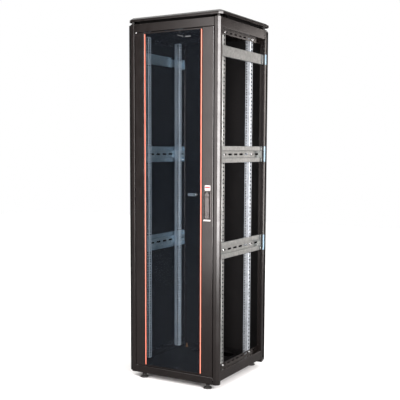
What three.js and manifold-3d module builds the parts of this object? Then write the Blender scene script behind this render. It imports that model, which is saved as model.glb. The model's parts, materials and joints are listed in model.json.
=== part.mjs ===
// A free-standing 42-unit network rack cabinet: a bolted steel frame with 19-inch rails, a glass
// front door with a swing handle, a steel rear door, one side panel, a raised roof and four feet.
// Millimetres. +X is the cabinet's right as seen from the front, +Y its back, +Z up. The origin is
// on the floor, at the middle of the overall width and depth. The front faces -Y.
import * as THREE from 'three';
import { mergeVertices } from 'three/addons/utils/BufferGeometryUtils.js';
import Module from 'manifold-3d';

const wasm = await Module();
wasm.setup();

// ---- Driving dimensions -------------------------------------------------------------------
const HALF_WIDTH = 300; // side panel's outer face, and the roof's edge
const FRAME_DEPTH = 600;
const LEVER_PROUD = 8; // the handle stands this far out of the front plane
const REAR_DOOR_PROUD = 15;
const BACK_Y = (FRAME_DEPTH + LEVER_PROUD + REAR_DOOR_PROUD) / 2; // rear door's outer face
const FACE_Y = LEVER_PROUD - BACK_Y; // front plane of door, posts and header
const FRAME_BACK_Y = FACE_Y + FRAME_DEPTH;
const FRAME_HALF = 290; // outer face of the posts
const BASE_Z = 32; // underside of the frame, standing on its feet
const FRAME_TOP = 2033;
const ROOF_Z = 2046; // lower edge of the raised roof
const ROOF_TOP = 2070;

const RACK_UNITS = 42;
const UNIT = 44.45;
const HOLE_COLUMN_X = 232.5; // 465 mm between the two columns of square holes
const HOLE_SIZE = 9.5;
const RAIL_HOLES_Z = 101; // lower edge of the first rack unit
const RAIL_INNER_X = 225; // 450 mm clear between the rails
const RAIL_OUTER_X = 257.5;
const RAIL_DEPTH = 29;
const RAIL_FRONT_Y = FACE_Y + 98;
const RAIL_REAR_Y = FACE_Y + 441;
const RAIL_OVERRUN = 6; // rail beyond its first and last unit

const SHEET = 2;
const GAP = 0.3; // clearance between touching pieces
const POST_WIDTH = 34;
const POST_DEPTH = 34;
const CHAMFER = 13; // vertical corner chamfer of the posts
const POST_IN_X = FRAME_HALF - POST_WIDTH;
const FRONT_POST_IN_Y = FACE_Y + POST_DEPTH;
const REAR_POST_IN_Y = FRAME_BACK_Y - POST_DEPTH;

const BASE_RAIL_HEIGHT = 42;
const HEADER_HEIGHT = 48;
const CROSS_FLANGE = 66; // depth of the base rails' lower flange, which carries the feet
const DOOR_GAP = 3; // above and below the front door
const DOOR_HALF = 252;
const DOOR_DEPTH = 24;
const DOOR_Z0 = BASE_Z + BASE_RAIL_HEIGHT + DOOR_GAP;
const DOOR_Z1 = FRAME_TOP - HEADER_HEIGHT - DOOR_GAP;
const GLASS_LEFT = -190; // inner edge of the hinge stile
const GLASS_RIGHT = 183.5; // inner edge of the lock stile
const STRIP_WIDTH = 5.5;
const STRIP_INSET = 2; // glass left bare between each strip and the stile

const PIN_X = -246; // front door hinge axis
const PIN_Y = FACE_Y + 5.5;
const PIN_R = 2.8;
const BORE_R = 3.1;
const REAR_PIN_X = 284; // rear door hinge axis
const REAR_PIN_Y = BACK_Y - 5;

const FOOT_X = 212;
const FOOT_FRONT_Y = FACE_Y + 28;
const FOOT_REAR_Y = FRAME_BACK_Y - 15;

// ---- Materials ----------------------------------------------------------------------------
const finish = (color, roughness, metalness, extra = {}) =>
  new THREE.MeshStandardMaterial({ color, roughness, metalness, ...extra });
const FINISHES = {
  paint: () => finish(0x2b2725, 0.42, 0.1),
  zinc: () => finish(0xa9b0b2, 0.35, 0.9),
  glass: () => finish(0x4a5358, 0.05, 0, { transparent: true, opacity: 0.3 }),
  accent: () => finish(0xf0704f, 0.4, 0),
  plastic: () => finish(0x141414, 0.6, 0),
  handle: () => finish(0x33302f, 0.35, 0.3),
  label: () => finish(0xe9e7e2, 0.5, 0),
  brass: () => finish(0xc08a3e, 0.35, 0.9),
};

// ---- Solid helpers ------------------------------------------------------------------------
function toSolid(geometry) {
  const bare = geometry.index ? geometry.clone() : geometry;
  for (const name of Object.keys(bare.attributes)) {
    if (name !== 'position') bare.deleteAttribute(name);
  }
  const merged = mergeVertices(bare, 1e-4);
  return new wasm.Manifold(
    new wasm.Mesh({
      numProp: 3,
      vertProperties: new Float32Array(merged.attributes.position.array),
      triVerts: new Uint32Array(merged.index.array),
    }),
  );
}

function toGeometry(solid) {
  const mesh = solid.getMesh();
  const geometry = new THREE.BufferGeometry();
  geometry.setAttribute('position', new THREE.BufferAttribute(mesh.vertProperties.slice(), 3));
  geometry.setIndex(new THREE.BufferAttribute(mesh.triVerts.slice(), 1));
  geometry.computeVertexNormals();
  return geometry;
}

const join = (...solids) => solids.reduce((a, b) => a.add(b));
const cut = (body, ...tools) => tools.reduce((a, b) => a.subtract(b), body);

function block([x0, x1], [y0, y1], [z0, z1]) {
  const box = new THREE.BoxGeometry(Math.abs(x1 - x0), Math.abs(y1 - y0), Math.abs(z1 - z0));
  return toSolid(box.translate((x0 + x1) / 2, (y0 + y1) / 2, (z0 + z1) / 2));
}

// The outline is drawn in (y, z) for a run along x, in (x, z) along y, and in (x, y) along z.
const RUN_AXES = {
  x: [new THREE.Vector3(0, 1, 0), new THREE.Vector3(0, 0, 1), new THREE.Vector3(1, 0, 0)],
  y: [new THREE.Vector3(1, 0, 0), new THREE.Vector3(0, 0, 1), new THREE.Vector3(0, -1, 0)],
  z: [new THREE.Vector3(1, 0, 0), new THREE.Vector3(0, 1, 0), new THREE.Vector3(0, 0, 1)],
};

function loop(outline) {
  const points = outline.map(([u, v]) => new THREE.Vector2(u, v));
  return THREE.ShapeUtils.isClockWise(points) ? points.reverse() : points;
}

function run(axis, outline, from, to, hole = null, bevel = null) {
  const shape = new THREE.Shape(loop(outline));
  if (hole) shape.holes.push(new THREE.Path(loop(hole)));
  const start = axis === 'y' ? -to : from;
  const options = { depth: to - from, bevelEnabled: false, curveSegments: 6, ...bevel };
  const geometry = new THREE.ExtrudeGeometry(shape, options).translate(0, 0, start);
  return toSolid(geometry.applyMatrix4(new THREE.Matrix4().makeBasis(...RUN_AXES[axis])));
}

function rod(axis, [x, y, z], radius, length, sides = 16) {
  const geometry = new THREE.CylinderGeometry(radius, radius, length, sides);
  if (axis === 'x') geometry.rotateZ(Math.PI / 2);
  if (axis === 'z') geometry.rotateX(Math.PI / 2);
  return toSolid(geometry.translate(x, y, z));
}

// A slot with chamfered ends, long in y, cut through a sheet that stands across x.
function slot([x0, x1], yMid, zMid, length, height) {
  const [l, h, c] = [length / 2, height / 2, height / 4];
  const outline = [
    [yMid - l, zMid - c], [yMid - l + c, zMid - h], [yMid + l - c, zMid - h], [yMid + l, zMid - c],
    [yMid + l, zMid + c], [yMid + l - c, zMid + h], [yMid - l + c, zMid + h], [yMid - l, zMid + c],
  ];
  return run('x', outline, x0, x1);
}

const cabinet = new THREE.Group();
function piece(name, slotName, solid) {
  const material = FINISHES[slotName]();
  material.name = slotName;
  const mesh = new THREE.Mesh(toGeometry(solid), material);
  mesh.name = name;
  cabinet.add(mesh);
}

const SIDES = [['left', -1], ['right', 1]];
const mirrorX = (outline, side) => outline.map(([x, v]) => [side * x, v]);
const span = (side, a, b) => [Math.min(side * a, side * b), Math.max(side * a, side * b)];
const crossSpan = POST_IN_X - GAP; // half length of pieces between two posts
const depthSpan = [FRONT_POST_IN_Y + GAP, REAR_POST_IN_Y - GAP];

// ---- Frame: posts and beams ---------------------------------------------------------------
function postOutline(side, outerY, toBack, inset) {
  const out = FRAME_HALF - inset;
  const inner = POST_IN_X + inset;
  const face = outerY + toBack * inset;
  const rear = outerY + toBack * (POST_DEPTH - inset);
  const corner = CHAMFER + inset * (Math.SQRT2 - 2); // keeps the wall even round the chamfer
  return mirrorX([
    [inner, face], [out - corner, face], [out, face + toBack * corner], [out, rear], [inner, rear],
  ], side);
}

for (const [sideName, side] of SIDES) {
  for (const [endName, outerY, toBack] of [['front', FACE_Y, 1], ['rear', FRAME_BACK_Y, -1]]) {
    const outer = postOutline(side, outerY, toBack, 0);
    const inner = postOutline(side, outerY, toBack, SHEET);
    piece(`post_${endName}_${sideName}`, 'paint', run('z', outer, BASE_Z, FRAME_TOP, inner));
  }
}

// A channel across the cabinet: an upright web at outerY with a flange along its top and bottom.
function crossChannel(outerY, toBack, z0, z1, lowFlange, highFlange) {
  const at = (d) => outerY + toBack * d;
  return run('x', [
    [at(0), z0], [at(lowFlange), z0], [at(lowFlange), z0 + SHEET], [at(SHEET), z0 + SHEET],
    [at(SHEET), z1 - SHEET], [at(highFlange), z1 - SHEET], [at(highFlange), z1], [at(0), z1],
  ], -crossSpan, crossSpan);
}

const baseTop = BASE_Z + BASE_RAIL_HEIGHT;
const headerZ = FRAME_TOP - HEADER_HEIGHT;
const footHole = (x, y) => rod('z', [x, y, BASE_Z], 5.4, 3 * SHEET);
const frontPinHole = (z) => rod('z', [PIN_X, PIN_Y, z], BORE_R, 3 * SHEET, 12);

piece('base_front_rail', 'paint', cut(
  crossChannel(FACE_Y, 1, BASE_Z, baseTop, CROSS_FLANGE, POST_DEPTH),
  footHole(-FOOT_X, FOOT_FRONT_Y), footHole(FOOT_X, FOOT_FRONT_Y), frontPinHole(baseTop),
));
piece('base_rear_rail', 'paint', cut(
  crossChannel(FRAME_BACK_Y, -1, BASE_Z, baseTop, CROSS_FLANGE, POST_DEPTH),
  footHole(-FOOT_X, FOOT_REAR_Y), footHole(FOOT_X, FOOT_REAR_Y),
));
piece('header_rail', 'paint', cut(
  crossChannel(FACE_Y, 1, headerZ, FRAME_TOP, POST_DEPTH, POST_DEPTH), frontPinHole(headerZ),
));
piece('top_rear_rail', 'paint', crossChannel(FRAME_BACK_Y, -1, headerZ, FRAME_TOP, POST_DEPTH, POST_DEPTH));

// Side beams: a deep outer web, and a slotted strip beside the rails that their ends bolt to.
const STRIP_X = [RAIL_OUTER_X + 0.5, RAIL_OUTER_X + 0.5 + SHEET];
const BEAM_OUT_X = FRAME_HALF - 2;
const BASE_BEAM = { low: 50, high: 105, stripEnd: 131 };
const TOP_BEAM = { low: FRAME_TOP, high: 1980, stripEnd: 1952 };
const BEAM_SLOT_PITCH = 56;
const BEAM_SLOTS = 9;

function sideBeam(side, { low, high, stripEnd }) {
  const t = Math.sign(high - low) * SHEET;
  const outline = mirrorX([
    [BEAM_OUT_X - 26, low], [BEAM_OUT_X, low], [BEAM_OUT_X, high], [STRIP_X[1], high],
    [STRIP_X[1], stripEnd], [STRIP_X[0], stripEnd], [STRIP_X[0], high - t],
    [BEAM_OUT_X - SHEET, high - t], [BEAM_OUT_X - SHEET, low + t], [BEAM_OUT_X - 26, low + t],
  ], side);
  const slots = Array.from({ length: BEAM_SLOTS }, (_, i) => slot(
    span(side, STRIP_X[0] - 1, STRIP_X[1] + 1),
    (depthSpan[0] + depthSpan[1]) / 2 + (i - (BEAM_SLOTS - 1) / 2) * BEAM_SLOT_PITCH,
    (high + stripEnd) / 2, 34, 9,
  ));
  return cut(run('y', outline, ...depthSpan), ...slots);
}

for (const [sideName, side] of SIDES) {
  piece(`base_${sideName}_beam`, 'paint', sideBeam(side, BASE_BEAM));
  piece(`top_${sideName}_beam`, 'paint', sideBeam(side, TOP_BEAM));
}

// ---- Floor plate with its cable entry -------------------------------------------------------
// The plate rests on the upper flanges of the front and rear base rails, behind the door.
const FLOOR_Z = [baseTop + GAP, baseTop + GAP + SHEET];
const FLOOR_Y = [FACE_Y + DOOR_DEPTH + 5, FRAME_BACK_Y];
const CABLE_ENTRY = { halfWidth: 140, y: [130, 215] };
piece('floor_plate', 'paint', cut(
  block([-crossSpan, crossSpan], FLOOR_Y, FLOOR_Z),
  block([-CABLE_ENTRY.halfWidth, CABLE_ENTRY.halfWidth], CABLE_ENTRY.y, [FLOOR_Z[0] - 5, FLOOR_Z[1] + 5]),
));
piece('earth_stud', 'brass', join(
  rod('z', [-205, 205, FLOOR_Z[1] + GAP + 3], 9, 6, 6),
  rod('z', [-205, 205, FLOOR_Z[1] + GAP + 12], 4, 24, 12),
));

// ---- 19-inch rails --------------------------------------------------------------------------
const railZ = [RAIL_HOLES_Z - RAIL_OVERRUN, RAIL_HOLES_Z + RACK_UNITS * UNIT + RAIL_OVERRUN];
function rail(side, y) {
  const outline = mirrorX([
    [RAIL_INNER_X, y], [RAIL_OUTER_X, y], [RAIL_OUTER_X, y + RAIL_DEPTH],
    [RAIL_OUTER_X - SHEET, y + RAIL_DEPTH], [RAIL_OUTER_X - SHEET, y + SHEET],
    [RAIL_INNER_X + SHEET, y + SHEET], [RAIL_INNER_X + SHEET, y + RAIL_DEPTH], [RAIL_INNER_X, y + RAIL_DEPTH],
  ], side);
  const holes = Array.from({ length: RACK_UNITS }, (_, unit) => {
    const z = RAIL_HOLES_Z + (unit + 0.5) * UNIT;
    const x = side * HOLE_COLUMN_X;
    return block(
      [x - HOLE_SIZE / 2, x + HOLE_SIZE / 2], [y - 1, y + SHEET + 1], [z - HOLE_SIZE / 2, z + HOLE_SIZE / 2],
    );
  });
  return cut(run('z', outline, ...railZ), ...holes);
}

for (const [sideName, side] of SIDES) {
  piece(`rail_front_${sideName}`, 'zinc', rail(side, RAIL_FRONT_Y));
  piece(`rail_rear_${sideName}`, 'zinc', rail(side, RAIL_REAR_Y));
}

// ---- Depth braces between the posts ---------------------------------------------------------
const BRACE_OUT_X = 278;
const HAT_HALF = 46; // half height of the slotted hat-section brace
const HAT_STEP = 20; // half height of its recessed slotted band
const PLAIN_HALF = 29; // half height of the plain channel brace
const BRACE_SLOTS = 7;
const BRACE_SLOT_PITCH = 69;
const BRACE_SLOT = [46, 11]; // length and height
const BRACE_SLOTS_BACK = 26; // the row stands this far behind the brace's middle
const LIP_X = 264;

const hatSection = (z) => {
  const [out, wall] = [BRACE_OUT_X, BRACE_OUT_X - SHEET];
  const upper = [
    [LIP_X, HAT_HALF], [out, HAT_HALF], [out, HAT_STEP], [STRIP_X[1], HAT_STEP],
  ];
  const back = [
    [STRIP_X[0], HAT_STEP + SHEET], [wall, HAT_STEP + SHEET],
    [wall, HAT_HALF - SHEET], [LIP_X, HAT_HALF - SHEET],
  ];
  const flip = (points) => points.map(([x, v]) => [x, -v]).reverse();
  return [...upper, ...flip(upper), ...flip(back), ...back].map(([x, v]) => [x, z + v]);
};

const plainSection = (z) => {
  const [out, wall, h] = [BRACE_OUT_X, BRACE_OUT_X - SHEET, PLAIN_HALF];
  return [
    [LIP_X - 3, h], [out, h], [out, -h], [LIP_X - 3, -h],
    [LIP_X - 3, SHEET - h], [wall, SHEET - h], [wall, h - SHEET], [LIP_X - 3, h - SHEET],
  ].map(([x, v]) => [x, z + v]);
};

// Each end is folded outwards into a plate that lies against the post.
function brace(side, section, halfHeight, z, bodyEnd) {
  const plateX = span(side, STRIP_X[0], FRAME_HALF - 4);
  const plate = (y) => block(plateX, [y, y + SHEET], [z - halfHeight, z + halfHeight]);
  const body = run('y', mirrorX(section(z), side), depthSpan[0], bodyEnd);
  const tabX = span(side, BRACE_OUT_X - SHEET, BRACE_OUT_X);
  const tab = block(tabX, [bodyEnd - 1, depthSpan[1]], [z - 22, z + 22]);
  const ends = join(plate(depthSpan[0]), plate(depthSpan[1] - SHEET));
  return bodyEnd < depthSpan[1] ? join(body, tab, ends) : join(body, ends);
}

function slottedBrace(side, z) {
  const rowMiddle = (depthSpan[0] + depthSpan[1]) / 2 + BRACE_SLOTS_BACK;
  const slots = Array.from({ length: BRACE_SLOTS }, (_, i) => slot(
    span(side, STRIP_X[0] - 1, STRIP_X[1] + 1),
    rowMiddle + (i - (BRACE_SLOTS - 1) / 2) * BRACE_SLOT_PITCH, z, ...BRACE_SLOT,
  ));
  return cut(brace(side, hatSection, HAT_HALF, z, depthSpan[1]), ...slots);
}

const BRACE_Z = { lower: 775, middle: 1305, upper: 1861 };
const LEFT_UPPER_BODY_END = 125; // the upper left channel stops here and a flat tab goes on
for (const [sideName, side] of SIDES) {
  piece(`brace_${sideName}_lower`, 'zinc', slottedBrace(side, BRACE_Z.lower));
  piece(`brace_${sideName}_middle`, 'zinc', slottedBrace(side, BRACE_Z.middle));
  const bodyEnd = side < 0 ? LEFT_UPPER_BODY_END : depthSpan[1];
  piece(`brace_${sideName}_upper`, 'zinc', brace(side, plainSection, PLAIN_HALF, BRACE_Z.upper, bodyEnd));
}

// ---- Raised roof ----------------------------------------------------------------------------
const ROOF_CHAMFER = 20;
const ROOF_BEVEL = { width: 17, height: 11 }; // the slope between the rim and the flat top
function roofOutline(inset) {
  const [x, front, back] = [HALF_WIDTH - inset, FACE_Y + inset, BACK_Y - inset];
  const c = ROOF_CHAMFER + inset * (Math.SQRT2 - 2);
  return [
    [-x + c, front], [x - c, front], [x, front + c], [x, back - c],
    [x - c, back], [-x + c, back], [-x, back - c], [-x, front + c],
  ];
}

// The cover's outer form, drawn in by inset on its sides and its top, and running down past its rim.
function roofForm(inset) {
  const bevel = {
    bevelEnabled: true, bevelSegments: 1,
    bevelThickness: ROOF_BEVEL.height, bevelSize: ROOF_BEVEL.width, bevelOffset: -ROOF_BEVEL.width,
  };
  const slopeFoot = ROOF_TOP - inset - ROOF_BEVEL.height;
  return run('z', roofOutline(inset), FRAME_TOP - 10, slopeFoot, null, bevel);
}

const LIP_HALF = 226; // inner lips stop short of the corners, which stay open for air
const LIP_SIDE_Y = [FACE_Y + 74, BACK_Y - 74];
const LIP_INSET = 22;
function roof() {
  const shell = cut(
    roofForm(0),
    block([-400, 400], [-400, 400], [FRAME_TOP - 40, ROOF_Z]),
    roofForm(SHEET),
  );
  const lipZ = [FRAME_TOP + GAP, ROOF_TOP - SHEET + 0.5];
  const lipX = HALF_WIDTH - LIP_INSET;
  return join(
    shell,
    block([-LIP_HALF, LIP_HALF], [FACE_Y + LIP_INSET - SHEET, FACE_Y + LIP_INSET], lipZ),
    block([-LIP_HALF, LIP_HALF], [BACK_Y - LIP_INSET - 10, BACK_Y - LIP_INSET - 10 + SHEET], lipZ),
    block([-lipX, -lipX + SHEET], LIP_SIDE_Y, lipZ),
    block([lipX - SHEET, lipX], LIP_SIDE_Y, lipZ),
  );
}
piece('roof_cover', 'paint', roof());

const SPACER = 26;
for (const [sideName, side] of SIDES) {
  for (const [endName, y] of [['front', FACE_Y + 4], ['rear', FRAME_BACK_Y - 4 - SPACER]]) {
    const outline = mirrorX([
      [POST_IN_X + 4, y], [POST_IN_X + 4 + SPACER, y],
      [POST_IN_X + 4 + SPACER, y + SPACER], [POST_IN_X + 4, y + SPACER],
    ], side);
    const corner = mirrorX([
      [POST_IN_X + 4 + SPACER - 14, y - 1], [FRAME_HALF + 5, y - 1], [FRAME_HALF + 5, y + 14],
    ], side);
    const body = run('z', outline, FRAME_TOP + GAP, ROOF_TOP - SHEET).intersect(roofForm(SHEET + GAP));
    const shaped = endName === 'front' ? cut(body, run('z', corner, FRAME_TOP - 1, ROOF_TOP)) : body;
    piece(`roof_spacer_${endName}_${sideName}`, 'plastic', shaped);
  }
}

// ---- Left side panel, a shallow tray that laps the frame ---------------------------------------
const PANEL_Y = [FACE_Y + 13.5, FRAME_BACK_Y - 9];
const PANEL_Z = [BASE_Z + 1, FRAME_TOP - 2];
const panelInner = -(FRAME_HALF + GAP);
piece('side_panel_left', 'paint', cut(
  block([-HALF_WIDTH, panelInner], PANEL_Y, PANEL_Z),
  block(
    [-HALF_WIDTH + SHEET, panelInner + 1],
    [PANEL_Y[0] + SHEET, PANEL_Y[1] - SHEET], [PANEL_Z[0] + SHEET, PANEL_Z[1] - SHEET],
  ),
));

// ---- Front door -----------------------------------------------------------------------------
// A stile is a channel open to the back, with a narrow lip along both rear edges.
function stile(x0, x1) {
  const [y0, y1, lip] = [FACE_Y, FACE_Y + DOOR_DEPTH, 10];
  return run('z', [
    [x0, y0], [x1, y0], [x1, y1], [x1 - lip, y1], [x1 - lip, y1 - SHEET], [x1 - SHEET, y1 - SHEET],
    [x1 - SHEET, y0 + SHEET], [x0 + SHEET, y0 + SHEET], [x0 + SHEET, y1 - SHEET],
    [x0 + lip, y1 - SHEET], [x0 + lip, y1], [x0, y1],
  ], DOOR_Z0, DOOR_Z1);
}

const HINGE_BLOCK = 12; // drilled block in each end of the hinge stile
const hingeBlock = (z0) => block(
  [-DOOR_HALF + 1, PIN_X + 9], [FACE_Y + 1, PIN_Y + 8], [z0, z0 + HINGE_BLOCK],
);
piece('door_hinge_stile', 'paint', cut(
  join(stile(-DOOR_HALF, GLASS_LEFT), hingeBlock(DOOR_Z0), hingeBlock(DOOR_Z1 - HINGE_BLOCK)),
  rod('z', [PIN_X, PIN_Y, DOOR_Z0], BORE_R, 40, 12),
  rod('z', [PIN_X, PIN_Y, DOOR_Z1], BORE_R, 40, 12),
));

const PAN = { x: [196, 242], z: [943, 1108] };
const PAN_WALL = { x: [PAN.x[0] + 4, PAN.x[1] - 4], z: [PAN.z[0] + 4, PAN.z[1] - 4] };
const PAN_BACK = FACE_Y + 15;
const widen = ([a, b], by) => [a - by, b + by];
piece('door_lock_stile', 'paint', cut(
  stile(GLASS_RIGHT, DOOR_HALF),
  block(widen(PAN_WALL.x, GAP), [FACE_Y - 1, FACE_Y + SHEET + 1], widen(PAN_WALL.z, GAP)),
));

const DOOR_TRIM = 8; // visible height of the narrow rails above and below the glass
const glassX = [GLASS_LEFT + GAP, GLASS_RIGHT - GAP];
const doorTrim = (edgeZ, inwards) => {
  const at = (d) => edgeZ + inwards * d;
  return run('x', [
    [FACE_Y, at(0)], [FACE_Y + DOOR_DEPTH, at(0)], [FACE_Y + DOOR_DEPTH, at(SHEET)],
    [FACE_Y + SHEET, at(SHEET)], [FACE_Y + SHEET, at(DOOR_TRIM)], [FACE_Y, at(DOOR_TRIM)],
  ], ...glassX);
};
piece('door_top_rail', 'paint', doorTrim(DOOR_Z1, -1));
piece('door_bottom_rail', 'paint', doorTrim(DOOR_Z0, 1));

const GLASS_Y = [FACE_Y + SHEET + GAP, FACE_Y + SHEET + GAP + 4];
piece('door_glass', 'glass', block(glassX, GLASS_Y, [DOOR_Z0 + SHEET + GAP, DOOR_Z1 - SHEET - GAP]));
const stripZ = [DOOR_Z0 + DOOR_TRIM + GAP, DOOR_Z1 - DOOR_TRIM - GAP];
const stripY = [GLASS_Y[0] - GAP - 1, GLASS_Y[0] - GAP];
piece('glass_strip_left', 'accent', block(
  [glassX[0] + STRIP_INSET, glassX[0] + STRIP_INSET + STRIP_WIDTH], stripY, stripZ,
));
piece('glass_strip_right', 'accent', block(
  [glassX[1] - STRIP_INSET - STRIP_WIDTH, glassX[1] - STRIP_INSET], stripY, stripZ,
));

const PIN_LENGTH = 30;
piece('door_pin_top', 'zinc', rod('z', [PIN_X, PIN_Y, headerZ + 2], PIN_R, PIN_LENGTH, 12));
piece('door_pin_bottom', 'zinc', rod('z', [PIN_X, PIN_Y, baseTop - 2], PIN_R, PIN_LENGTH, 12));

// ---- Swing handle ---------------------------------------------------------------------------
const HANDLE_X = (PAN.x[0] + PAN.x[1]) / 2;
const TURN_Z = 1090; // spindle axis
const SPINDLE_R = 9;
const BEZEL_Y = [FACE_Y - 2, FACE_Y - GAP];
const LEVER_Y = [-BACK_Y, BEZEL_Y[0] - GAP]; // the lever lies just proud of the bezel
const LEVER_HALF = 13;
const LIFT = { y: FACE_Y - 4.6, z: 1076, r: 2.6 }; // knuckle axis between lever and spindle head
const LEVER_Z = [956, LIFT.z - 3.4];
const LOCK_Z = 981;
const KNUCKLE_HALF = 5;

piece('handle_pan', 'handle', cut(
  join(
    block(PAN.x, BEZEL_Y, PAN.z),
    block(PAN_WALL.x, [BEZEL_Y[0], PAN_BACK], PAN_WALL.z),
  ),
  block(widen(PAN_WALL.x, -1.5), [BEZEL_Y[0] - 1, PAN_BACK - 1.5], widen(PAN_WALL.z, -1.5)),
  rod('y', [HANDLE_X, PAN_BACK, TURN_Z], SPINDLE_R + GAP, 20),
));

const knuckle = (x0, x1) => rod('x', [(x0 + x1) / 2, LIFT.y, LIFT.z], LIFT.r, x1 - x0, 12);
const forkX = [
  [HANDLE_X - LEVER_HALF, HANDLE_X - KNUCKLE_HALF - GAP],
  [HANDLE_X + KNUCKLE_HALF + GAP, HANDLE_X + LEVER_HALF],
];
const CAM = { y: [FACE_Y + DOOR_DEPTH + 2, FACE_Y + DOOR_DEPTH + 5], reach: 30, half: 7 };
piece('handle_spindle', 'handle', join(
  block([HANDLE_X - LEVER_HALF, HANDLE_X + LEVER_HALF], LEVER_Y, [LIFT.z + 3.4, 1102]),
  ...forkX.map(([x0, x1]) => join(
    knuckle(x0, x1),
    block([x0, x1], [LIFT.y - LIFT.r, LIFT.y + LIFT.r], [LIFT.z, LIFT.z + 4]),
  )),
  rod('x', [HANDLE_X, LIFT.y, LIFT.z], 1, 2 * LEVER_HALF - 2, 8),
  rod('y', [HANDLE_X, (LEVER_Y[0] + 1 + CAM.y[1]) / 2, TURN_Z], SPINDLE_R, CAM.y[1] - LEVER_Y[0] - 1),
  block([HANDLE_X - 10, HANDLE_X + CAM.reach], CAM.y, [TURN_Z - CAM.half, TURN_Z + CAM.half]),
));

piece('handle_lever', 'handle', cut(
  join(
    block([HANDLE_X - LEVER_HALF, HANDLE_X + LEVER_HALF], LEVER_Y, LEVER_Z),
    knuckle(HANDLE_X - KNUCKLE_HALF, HANDLE_X + KNUCKLE_HALF),
    block(
      [HANDLE_X - KNUCKLE_HALF, HANDLE_X + KNUCKLE_HALF],
      [LIFT.y - LIFT.r, LIFT.y + LIFT.r], [LEVER_Z[1] - 1, LIFT.z],
    ),
  ),
  rod('x', [HANDLE_X, LIFT.y, LIFT.z], 1.3, 40, 8),
  rod('y', [HANDLE_X, LEVER_Y[0], LOCK_Z], 6, 20),
));
piece('handle_lock_plug', 'zinc', cut(
  rod('y', [HANDLE_X, (LEVER_Y[0] + LEVER_Y[1]) / 2, LOCK_Z], 5.7, LEVER_Y[1] - LEVER_Y[0] - 0.4),
  block([HANDLE_X - 0.7, HANDLE_X + 0.7], [LEVER_Y[0] - 1, LEVER_Y[0] + 2.5], [LOCK_Z - 3.5, LOCK_Z + 3.5]),
));
piece('handle_label', 'label', block(
  [HANDLE_X - 19.5, HANDLE_X + 19.5], [FACE_Y - GAP - 0.7, FACE_Y - GAP], [PAN.z[1] + 2, PAN.z[1] + 35],
));

// ---- Rear door ------------------------------------------------------------------------------
const REAR_HALF = 289;
const REAR_Y = [BACK_Y - 12, BACK_Y];
const REAR_Z = [BASE_Z + 8, FRAME_TOP - 8];
const REAR_LOCK = { x: -202, y: BACK_Y - 10.5, z: 1046, r: 9 };
const REAR_CAM_Y = [BACK_Y - 24.5, BACK_Y - 21.5];
const rearBlock = (z0) => block(
  [REAR_PIN_X - 8, REAR_HALF - 1], [REAR_Y[0], BACK_Y - 1], [z0, z0 + HINGE_BLOCK],
);
piece('rear_door', 'paint', cut(
  join(
    cut(
      block([-REAR_HALF, REAR_HALF], REAR_Y, REAR_Z),
      block(
        [-REAR_HALF + SHEET, REAR_HALF - SHEET], [REAR_Y[0] - 1, BACK_Y - SHEET],
        [REAR_Z[0] + SHEET, REAR_Z[1] - SHEET],
      ),
    ),
    rearBlock(REAR_Z[0]), rearBlock(REAR_Z[1] - HINGE_BLOCK),
  ),
  rod('z', [REAR_PIN_X, REAR_PIN_Y, REAR_Z[0]], BORE_R, 40, 12),
  rod('z', [REAR_PIN_X, REAR_PIN_Y, REAR_Z[1]], BORE_R, 40, 12),
  rod('y', [REAR_LOCK.x, BACK_Y, REAR_LOCK.z], REAR_LOCK.r + 3 + GAP, 10, 20),
));

// An angle bolted to the frame's rear face, with the pin that the rear door turns on.
function rearHinge(outerZ, inwards) {
  const at = (d) => outerZ + inwards * d;
  const plateZ = [at(1), at(4)].sort((a, b) => a - b);
  const pinMid = at(4 + 7);
  return join(
    block([REAR_PIN_X - 14, REAR_HALF], [FRAME_BACK_Y + GAP, BACK_Y - 0.5], plateZ),
    block([REAR_PIN_X - 34, REAR_HALF], [FRAME_BACK_Y + GAP, FRAME_BACK_Y + GAP + 2], plateZ),
    rod('z', [REAR_PIN_X, REAR_PIN_Y, pinMid], PIN_R, 16, 12),
  );
}
piece('rear_hinge_top', 'zinc', rearHinge(FRAME_TOP, -1));
piece('rear_hinge_bottom', 'zinc', rearHinge(BASE_Z, 1));

piece('rear_lock_body', 'zinc', cut(
  join(
    rod('y', [REAR_LOCK.x, REAR_LOCK.y, REAR_LOCK.z], REAR_LOCK.r + 3, 20.4, 20),
    rod('y', [REAR_LOCK.x, REAR_LOCK.y, REAR_LOCK.z], REAR_LOCK.r + 6, 6, 6),
  ),
  rod('y', [REAR_LOCK.x, REAR_LOCK.y, REAR_LOCK.z], REAR_LOCK.r + GAP, 40, 20),
));
piece('rear_lock_cam', 'zinc', join(
  rod('y', [REAR_LOCK.x, REAR_LOCK.y - 1.8, REAR_LOCK.z], REAR_LOCK.r, 24, 20),
  block([REAR_LOCK.x - 46, REAR_LOCK.x + 9], REAR_CAM_Y, [REAR_LOCK.z - 9, REAR_LOCK.z + 9]),
));

// ---- Levelling feet ---------------------------------------------------------------------------
const FOOT_PROFILE = [
  [0, 0], [24, 0], [24, 6], [21, 10], [14, 13], [14, 24], [8, 27], [5, 27], [5, 66], [0, 66],
];
function foot(x, y) {
  const points = FOOT_PROFILE.map(([r, z]) => new THREE.Vector2(r, z));
  return toSolid(new THREE.LatheGeometry(points, 16).rotateX(Math.PI / 2).translate(x, y, 0));
}
for (const [sideName, side] of SIDES) {
  piece(`foot_front_${sideName}`, 'plastic', foot(side * FOOT_X, FOOT_FRONT_Y));
  piece(`foot_rear_${sideName}`, 'plastic', foot(side * FOOT_X, FOOT_REAR_Y));
}

export default cabinet;
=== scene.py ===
"""Looks for the network rack cabinet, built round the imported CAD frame.

Lengths below are millimetres; meshes are scaled to metres when they are made. Sheet-metal pieces
are folded from a mid-line with real bend radii and punched holes, and the rest are lofted.
"""

import json
import math

import bmesh
import bpy
from mathutils import Matrix, Vector


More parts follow.
